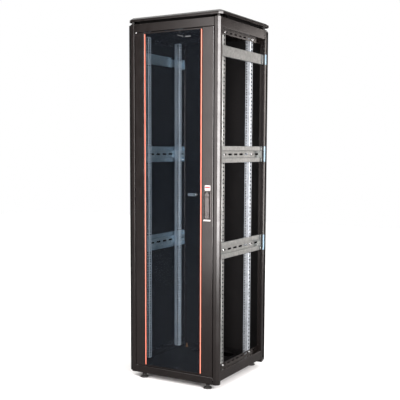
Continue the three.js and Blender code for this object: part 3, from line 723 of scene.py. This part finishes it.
LIP_HALF = 226
LIP_IN, REAR_LIP_IN = 22, 32  # from the rim
SIDE_LIP_END = 110  # the side lips stop clear of the corners, where the gap is open
lip_z = (zs[0], roof_top - 3)
side_lip_y = (ys[0] + SIDE_LIP_END, ys[1] - SIDE_LIP_END)
lips = Shape()
for y in (ys[0] + LIP_IN - SHEET, ys[1] - REAR_LIP_IN):
    lips.slab("y", rect((-LIP_HALF, LIP_HALF), lip_z), y, y + SHEET, 2, 0.3)
for x in (xs[0] + LIP_IN, xs[1] - LIP_IN - SHEET):
    lips.slab("x", rect(side_lip_y, lip_z), x, x + SHEET, 2, 0.3)
lips.build("roof_lips", SHADE_PAINT)

BUSH_R, BUSH_WAIST = 8.5, 7.2
for side_name, side in SIDES:
    for end_name in ("front", "rear"):
        node = f"roof_spacer_{end_name}_{side_name}"
        xs, ys, zs = span(node)
        centre = (sum(xs) / 2, sum(ys) / 2)
        foot, head = zs[0], zs[1] - SLOPE_HIGH - 1
        end = [(BUSH_R - 0.7, 0), (BUSH_R, 0.8), (BUSH_R, 3), (BUSH_WAIST, 4.5)]
        profile = [(r, foot + h) for r, h in end] + [(r, head - h) for r, h in reversed(end)]
        column(Shape(), "z", centre, profile).build(
            node + "_bush", PLASTIC, slot="plastic", smooth=True, replaces=[node]
        )

# ---- Left side panel and rear door --------------------------------------------------------

xs, ys, zs = span("side_panel_left")
tray("x", rect(ys, zs), xs[0], xs[1], 4).build(
    "side_panel_left_sheet", INSIDE_SHADE_PAINT, smooth=True, replaces=["side_panel_left"]
)
xs, ys, zs = span("rear_door")
tray("y", rect(xs, zs), ys[1], ys[0], 4).build(
    "rear_door_sheet", INSIDE_SHADE_PAINT, body="rear_door", smooth=True, replaces=["rear_door"]
)

xs, ys, zs = span("rear_lock_body")
centre = (sum(xs) / 2, sum(zs) / 2)
BARREL_R, BARREL_RIM_R = 11.4, 12.8
LOCK_NUT_R, LOCK_NUT_IN = 14.6, (5, 11)  # the nut's two faces, from the barrel's inner end
LOCK_CAM_HUB_R, LOCK_CAM_TAIL, LOCK_CAM_THICK = 8.9, 9, 3
barrel = [
    (BARREL_R - 0.6, ys[0]), (BARREL_R, ys[0] + 0.6), (BARREL_R, ys[1] - 2.5),
    (BARREL_RIM_R, ys[1] - 2.2), (BARREL_RIM_R, ys[1] - 0.8), (BARREL_RIM_R - 0.8, ys[1] - 0.1),
]
lock = Shape()
column(lock, "y", centre, barrel)
lock.loft("y", [(circle(*centre, LOCK_NUT_R, 6), ys[0] + y) for y in LOCK_NUT_IN])
lock.build(
    "rear_lock_barrel", FASTENER, body="rear_door", slot="zinc", smooth=True,
    replaces=["rear_lock_body"],
)

xs, ys, zs = span("rear_lock_cam")
turned = Shape()
column(turned, "y", centre, [
    (LOCK_CAM_HUB_R - 0.5, ys[0]), (LOCK_CAM_HUB_R, ys[0] + 0.5),
    (LOCK_CAM_HUB_R, ys[1] - 0.5), (LOCK_CAM_HUB_R - 0.5, ys[1]),
])
tongue = rect((xs[0], centre[0] + LOCK_CAM_TAIL), zs)
turned.slab("y", tongue, ys[0], ys[0] + LOCK_CAM_THICK, 6, 0.4)
turned.build(
    "rear_lock_tongue", PAINTED_LIGHT_ZINC, body="rear_lock", slot="zinc", smooth=True,
    replaces=["rear_lock_cam"],
)

# ---- Front door ---------------------------------------------------------------------------

STILE_LIP = 10
PAN_OVERLAP = 3.6  # how far the pan's rim laps over the stile's cut-out
PAN_CUT_CORNER = 6
pan_x, pan_y, pan_z = span("handle_pan")
for node, cut_out in (("door_hinge_stile", False), ("door_lock_stile", True)):
    xs, ys, zs = span(node)
    (x0, x1), (y0, y1) = [(low + SHEET / 2, high - SHEET / 2) for low, high in (xs, ys)]
    lip = STILE_LIP - SHEET / 2
    path = [(x0 + lip, y1), (x0, y1), (x0, y0), (x1, y0), (x1, y1), (x1 - lip, y1)]
    holes = {}
    if cut_out:
        half_x, half_z = [(b - a) / 2 - PAN_OVERLAP for a, b in (pan_x, pan_z)]
        holes[2] = [(sum(pan_x) / 2 - x0, sum(pan_z) / 2, half_x, half_z, PAN_CUT_CORNER)]
    Shape().folded("z", path, *zs, holes=holes).build(
        node + "_section", DOOR_PAINT, body="front_door", replaces=[node]
    )

for node, way in (("door_top_rail", -1), ("door_bottom_rail", 1)):
    xs, ys, zs = span(node)
    root, tip = (zs[0] + SHEET / 2, zs[1]) if way > 0 else (zs[1] - SHEET / 2, zs[0])
    path = [(ys[1], root), (ys[0] + SHEET / 2, root), (ys[0] + SHEET / 2, tip)]
    Shape().folded("x", path, *xs).build(node + "_angle", DOOR_PAINT, body="front_door", replaces=[node])

xs, ys, zs = span("door_glass")
Shape().slab("y", rect(xs, zs), *ys, 1.5, 0.8).build(
    "door_glass_pane", GLASS, body="front_door", slot="glass", smooth=True, replaces=["door_glass"]
)
for node in ("glass_strip_left", "glass_strip_right"):
    xs, ys, zs = span(node)
    Shape().slab("y", rect(xs, zs), *ys, 0.8, 0.25).build(
        node + "_band", CORAL, body="front_door", slot="accent", replaces=[node]
    )

PIN_COLLAR_R, PIN_COLLAR = 5.4, (0.4, 2.6)  # its radius, and its two faces past the stile's end
for node, shoulder, way in (
    ("door_pin_top", span("door_hinge_stile")[2][1], 1),
    ("door_pin_bottom", span("door_hinge_stile")[2][0], -1),
):
    xs, ys, zs = span(node)
    centre = (sum(xs) / 2, sum(ys) / 2)
    r = (xs[1] - xs[0]) / 2
    pin = Shape()
    column(pin, "z", centre, [(r - 0.5, zs[0]), (r, zs[0] + 0.6), (r, zs[1] - 0.6), (r - 0.5, zs[1])])
    near, far = sorted(shoulder + way * face for face in PIN_COLLAR)
    column(pin, "z", centre, [
        (PIN_COLLAR_R - 0.4, near), (PIN_COLLAR_R, near + 0.4),
        (PIN_COLLAR_R, far - 0.4), (PIN_COLLAR_R - 0.4, far),
    ])
    pin.build(node + "_turned", FASTENER, slot="zinc", smooth=True, replaces=[node])

# ---- Swing handle -------------------------------------------------------------------------

pan = Shape()
pan_face, pan_back = pan_y
PAN_RIM = 5.5  # width of the rim round the well
# Distance in from the pan's edge, place along Y and corner radius: over the crowned rim, down the
# well's wall to its floor, and back outside. It is one skin that closes on itself.
sections = [
    (0.0, pan_face + 2.6, 6), (0.4, pan_face + 1.6, 6), (1.2, pan_face + 0.8, 6),
    (2.6, pan_face + 0.2, 6), (3.6, pan_face, 6), (PAN_RIM - 0.9, pan_face, 5),
    (PAN_RIM - 0.3, pan_face + 0.3, 5), (PAN_RIM, pan_face + 1.0, 4),
    (PAN_RIM + 0.6, pan_back - 2.6, 4), (PAN_RIM + 1.6, pan_back - 1.5, 4),
    (PAN_RIM - 1.2, pan_back, 4), (PAN_RIM - 1.2, pan_face + 2.6, 5),
]
FLOOR_LOOP = 9  # this loop and the next are filled: the floor of the well, in front and behind
outline = rect(pan_x, pan_z)
loops = [(round_path(shrink(outline, d), r, 5), y) for d, y, r in sections]
count = len(loops[0][0])
pan.verts = [RUNS["y"](a, b, y) for loop, y in loops for a, b in loop]
for k in range(len(loops)):
    if k == FLOOR_LOOP:
        continue
    following = (k + 1) % len(loops)
    for i in range(count):
        j = (i + 1) % count
        pan.faces.append((k * count + i, k * count + j, following * count + j, following * count + i))
for k in (FLOOR_LOOP, FLOOR_LOOP + 1):
    pan.faces.append(tuple(k * count + i for i in range(count)))
pan.build("handle_pan_cast", HANDLE, body="front_door", slot="handle", smooth=True, replaces=["handle_pan"])

LIP_RISE, LIP_PROUD, LIP_END = 8.0, 3.0, 2
lip_foot = pan_z[0] + 0.6
lip_head = lip_foot + LIP_RISE
lip_front = pan_face - LIP_PROUD
pan_lip = [
    (pan_face + 0.4, lip_foot), (pan_face + 0.4, lip_head), (pan_face - 0.2, lip_head),
    (lip_front, lip_foot + 1.2), (lip_front + 0.8, lip_foot),
]
# The lip is in light metal: a painted highlight along the pan's bottom edge.
Shape().loft("x", [(pan_lip, x) for x in (pan_x[0] + LIP_END, pan_x[1] - LIP_END)]).build(
    "handle_pan_lip", PAN_LIP_HIGHLIGHT_METAL, body="front_door", slot="handle"
)

LABEL_TRIM = 4  # the plate is this much smaller than its CAD node at the left and at the top
BAR_IN, BAR_Z = 3, (14, 21)  # the bar's distance from the sides, its foot and head
label_x, label_y, label_z = span("handle_label")
label_x, label_z = (label_x[0] + LABEL_TRIM, label_x[1]), (label_z[0], label_z[1] - LABEL_TRIM)
Shape().slab("y", rect(label_x, label_z), *label_y, 2.0, 0.25).build(
    "handle_label_plate", LABEL, body="front_door", slot="label", smooth=True, replaces=["handle_label"]
)
Shape().slab(
    "y", rect((label_x[0] + BAR_IN, label_x[1] - BAR_IN), [label_z[0] + z for z in BAR_Z]),
    label_y[0] - 0.5, label_y[0] + 0.2, 1.0, 0.05,
).build("handle_label_bar", RED, body="front_door", slot="label")

lever_x, lever_y, lever_z = span("handle_lever")
joints = {joint["name"]: [p / MM for p in joint["pos_m"]] for joint in frame["joints"]}
turn_x, _, turn_z = joints["handle_turn"]
_, lift_y, lift_z = joints["lever_lift"]
lock_z = joints["handle_lock_turn"][2]
half = (lever_x[1] - lever_x[0]) / 2
PIVOT_R = 2.5  # the barrels round the lever's pivot
PIVOT_WEB = 2.2
LEVER_BARREL, SPINDLE_BARREL = 5, 5.3  # from the middle to the lever's barrel end and the spindle's
PIVOT_CLEAR = 3.4  # from the pivot to the bars above and below it
ESCUTCHEON_R = 9.0
lever_top = lift_z - PIVOT_CLEAR


GRIP_FOOT = 0.62  # depth of the lever's rounded foot, against its half width
GRIP_STEPS = 12


def grip(width, low, high, arch):
    """An upright bar's outline with a rounded foot and a softly arched head."""
    foot = width * GRIP_FOOT
    turns = [math.pi * k / GRIP_STEPS for k in range(GRIP_STEPS + 1)]
    points = [(turn_x - width * math.cos(a), low + foot - foot * math.sin(a)) for a in turns]
    points += [(turn_x + width * math.cos(a), high - arch + arch * math.sin(a)) for a in turns]
    return points


lever = Shape()
# Half width, depth behind the face and distance in from the ends, over the crowned front.
crown = [
    (half - 3.2, 0.0, 3.0), (half - 1.5, 0.5, 1.6), (half - 0.4, 1.6, 0.5), (half, 3.0, 0.0),
    (half, 5.2, 0.0),
]
bars = [(grip(w, lever_z[0] + e, lever_top - e * 0.5, 2.5), lever_y[0] + h) for w, h, e in crown]
bars.append((grip(half - 0.5, lever_z[0] + 0.4, lever_top - 0.3, 2.5), lever_y[0] + 5.7))
lever.loft("y", bars)
lever.loft("x", [(circle(lift_y, lift_z, PIVOT_R, 16), turn_x + x) for x in (-LEVER_BARREL, LEVER_BARREL)])
pivot_y = (lift_y - PIVOT_WEB, lift_y + PIVOT_WEB)
lever.slab(
    "z", rect((turn_x - LEVER_BARREL, turn_x + LEVER_BARREL), pivot_y), lever_top - 1, lift_z, 0.8, 0.2
)
ring = [(0, 2), (0, 0.3), (-0.6, 0), (-2.0, 0), (-2.4, 0.6), (-2.4, 2)]
column(lever, "y", (turn_x, lock_z), [(ESCUTCHEON_R + r, lever_y[0] + y) for r, y in ring])
lever.build(
    "handle_lever_grip", HANDLE, body="handle_lever", slot="handle", smooth=True,
    replaces=["handle_lever"],
)

_, plug_y, _ = span("handle_lock_plug")
plug = Shape()
PLUG_R, PLUG_FACE_R = 5.2, 2.2
KEY_SLOT = (0.7, 3.4)  # half width and half height
column(plug, "y", (turn_x, lock_z), [
    (PLUG_R, plug_y[1]), (PLUG_R, plug_y[0] + 0.6), (PLUG_R - 0.5, plug_y[0] + 0.15),
    (PLUG_FACE_R, plug_y[0] + 0.15), (PLUG_FACE_R, plug_y[0] + 1.4),
])
plug.slab(
    "y", rect((turn_x - KEY_SLOT[0], turn_x + KEY_SLOT[0]), (lock_z - KEY_SLOT[1], lock_z + KEY_SLOT[1])),
    plug_y[0] + 0.05, plug_y[0] + 0.6, 0.4, 0.1,
)
plug.build(
    "handle_lock_cylinder", FASTENER, body="handle_lock", slot="zinc", smooth=True,
    replaces=["handle_lock_plug"],
)

spin_x, spin_y, spin_z = span("handle_spindle")
spindle = Shape()
HEAD_CUT = 9  # the cut corners at the head's top
SHAFT_R = 8.9
CAM_HALF, CAM_THICK, CAM_TAIL = 7, 3, 10
head_low, head_top = lift_z + PIVOT_CLEAR, spin_z[1]


def head_outline(width, inset):
    """The plate above the lever, with its upper corners cut off."""
    left, right, low, high = turn_x - width, turn_x + width, head_low + inset, head_top - inset
    return [
        (left, low), (right, low), (right, high - HEAD_CUT),
        (right - HEAD_CUT, high), (left + HEAD_CUT, high), (left, high - HEAD_CUT),
    ]


cap = [(half - 2.6, 0.0, 2.4), (half - 1.0, 0.5, 0.9), (half, 2.0, 0.0), (half, 5.2, 0.0)]
spindle.loft("y", [(round_path(head_outline(w, e), 1.6, 3), spin_y[0] + h) for w, h, e in cap])
for x0, x1 in ((-half, -SPINDLE_BARREL), (SPINDLE_BARREL, half)):
    spindle.loft("x", [(circle(lift_y, lift_z, PIVOT_R, 16), turn_x + x) for x in (x0, x1)])
    spindle.slab("z", rect((turn_x + x0, turn_x + x1), pivot_y), lift_z, lift_z + 4, 0.8, 0.2)
column(spindle, "x", (lift_y, lift_z), [(0.9, turn_x - half + 1), (0.9, turn_x + half - 1)], 12)
cam_y = (spin_y[1] - CAM_THICK, spin_y[1])
cam_outline = rect((turn_x - CAM_TAIL, spin_x[1]), (turn_z - CAM_HALF, turn_z + CAM_HALF))
column(spindle, "y", (turn_x, turn_z), [(SHAFT_R, spin_y[0] + 3), (SHAFT_R, cam_y[0])])
spindle.slab("y", cam_outline, *cam_y, 4, 0.4)
spindle.build(
    "handle_spindle_cast", HANDLE, body="handle_spindle", slot="handle", smooth=True,
    replaces=["handle_spindle"],
)

# ---- Levelling feet -----------------------------------------------------------------------

# Radius and height above the floor.
FOOT = [(22.4, 0), (23.8, 0.8), (24, 2.2), (24, 5.2), (23.4, 6.4), (20, 9.2), (15.5, 11.6), (13, 13)]
FOOT_NUT = [(12.6, 13), (13.6, 13.8), (13.6, 23), (12.4, 24)]
for end_name in ("front", "rear"):
    for side_name, _ in SIDES:
        node = f"foot_{end_name}_{side_name}"
        xs, ys, zs = span(node)
        centre = (sum(xs) / 2, sum(ys) / 2)
        foot = Shape()
        column(foot, "z", centre, FOOT, 40)
        foot.loft("z", [(circle(*centre, r, 6), h) for r, h in FOOT_NUT])
        column(foot, "z", centre, thread(4.5, 0.45, FOOT_NUT[-1][1], 1.0, 42), 20)
        foot.build(node + "_moulded", PLASTIC, body=node, slot="plastic", smooth=True, replaces=[node])

# ---- CAD pieces that are shown as they are -------------------------------------------------

for node in ("rear_hinge_top", "rear_hinge_bottom"):
    data = frame["nodes"][node].data
    data.materials.clear()
    data.materials.append(FASTENER)

# ---- Stage: floor, lights and camera ---------------------------------------------------------

FLOOR_HALF = 9.0
FLOOR_IN_REFLECTIONS = (0.22, 0.22, 0.22)  # dim, so that paint and glass don't mirror the floor
CEILING_FADE = (0.30, 0.70, 0.05, 1.75)  # sine of the elevation from and to, brightness from and to
floor_mesh = bpy.data.meshes.new("floor")
floor_mesh.from_pydata(
    [(x * FLOOR_HALF, y * FLOOR_HALF, 0) for x, y in ((-1, -1), (1, -1), (1, 1), (-1, 1))], [], [(0, 1, 2, 3)]
)
floor = bpy.data.objects.new("floor", floor_mesh)
bpy.context.scene.collection.objects.link(floor)
paper = Material("floor_paper")
paper.colour(paper.noise(0.8), (0.93, 0.93, 0.93), (0.95, 0.95, 0.95))
paper.roughness(paper.noise(4.0), 0.7, 0.8)
floor_mesh.materials.append(paper.material)
dim = paper.add("ShaderNodeBsdfDiffuse")
dim.inputs["Color"].default_value = (*FLOOR_IN_REFLECTIONS, 1)
by_ray = paper.add("ShaderNodeMixShader")
paper.links.new(paper.add("ShaderNodeLightPath").outputs["Is Glossy Ray"], by_ray.inputs[0])
paper.links.new(paper.shader.outputs[0], by_ray.inputs[1])
paper.links.new(dim.outputs[0], by_ray.inputs[2])
paper.links.new(by_ray.outputs[0], paper.nodes["Material Output"].inputs["Surface"])

world = bpy.data.worlds.new("studio")
bpy.context.scene.world = world
world.use_nodes = True
sky = world.node_tree
backdrop = sky.nodes["Background"]
backdrop.inputs["Color"].default_value = (1.0, 1.0, 1.0, 1)
ceiling = sky.nodes.new("ShaderNodeBackground")
ceiling.inputs["Color"].default_value = (1.0, 0.985, 0.97, 1)
height = sky.nodes.new("ShaderNodeSeparateXYZ")
fade = sky.nodes.new("ShaderNodeMapRange")
fade.interpolation_type = "SMOOTHSTEP"
for socket, value in zip(("From Min", "From Max", "To Min", "To Max"), CEILING_FADE):
    fade.inputs[socket].default_value = value
seen = sky.nodes.new("ShaderNodeMixShader")
sky.links.new(sky.nodes.new("ShaderNodeTexCoord").outputs["Generated"], height.inputs[0])
sky.links.new(height.outputs["Z"], fade.inputs["Value"])
sky.links.new(fade.outputs[0], ceiling.inputs["Strength"])
sky.links.new(sky.nodes.new("ShaderNodeLightPath").outputs["Is Camera Ray"], seen.inputs[0])
sky.links.new(ceiling.outputs[0], seen.inputs[1])
sky.links.new(backdrop.outputs[0], seen.inputs[2])
sky.links.new(seen.outputs[0], sky.nodes["World Output"].inputs["Surface"])


LIGHT_AIM = 1.1  # the height that every light points at
# Name, azimuth, distance, height, size, power and colour.
LIGHTS = (
    ("key_right", 60, 4.2, 1.6, (0.9, 2.8), 360, (1.0, 0.96, 0.955)),
    ("fill_front", -16, 4.4, 1.3, (1.4, 3.4), 150, (1.0, 0.93, 0.91)),
    ("rim_right_rear", 154, 5.8, 1.3, (1.0, 3.0), 45, (1.0, 0.92, 0.88)),
    ("rim_left", -124, 4.0, 1.3, (1.5, 3.0), 9, (1.0, 0.95, 0.93)),
)


def softbox(name, azimuth, distance, height, size, power, colour):
    """An area light round the cabinet. Azimuth 0 is in front of the glass door, 90 to its right."""
    light = bpy.data.lights.new(name, "AREA")
    light.shape, light.size, light.size_y = "RECTANGLE", *size
    light.energy, light.color = power, colour
    lamp = bpy.data.objects.new(name, light)
    angle = math.radians(azimuth)
    lamp.location = (distance * math.sin(angle), -distance * math.cos(angle), height)
    towards = Vector((0, 0, LIGHT_AIM)) - lamp.location
    lamp.rotation_euler = towards.to_track_quat("-Z", "Y").to_euler()
    bpy.context.scene.collection.objects.link(lamp)


for light in LIGHTS:
    softbox(*light)

camera_data = bpy.data.cameras.new("camera")
camera_data.sensor_width = 36
camera_data.lens = CAMERA["lens"]
camera_data.shift_x, camera_data.shift_y = CAMERA["shift"]
camera = bpy.data.objects.new("camera", camera_data)
camera.location = CAMERA["location"]
camera.rotation_euler = (math.pi / 2 - CAMERA["pitch"], 0, CAMERA["yaw"])
bpy.context.scene.collection.objects.link(camera)
bpy.context.scene.camera = camera
bpy.context.scene.view_settings.view_transform = "Standard"
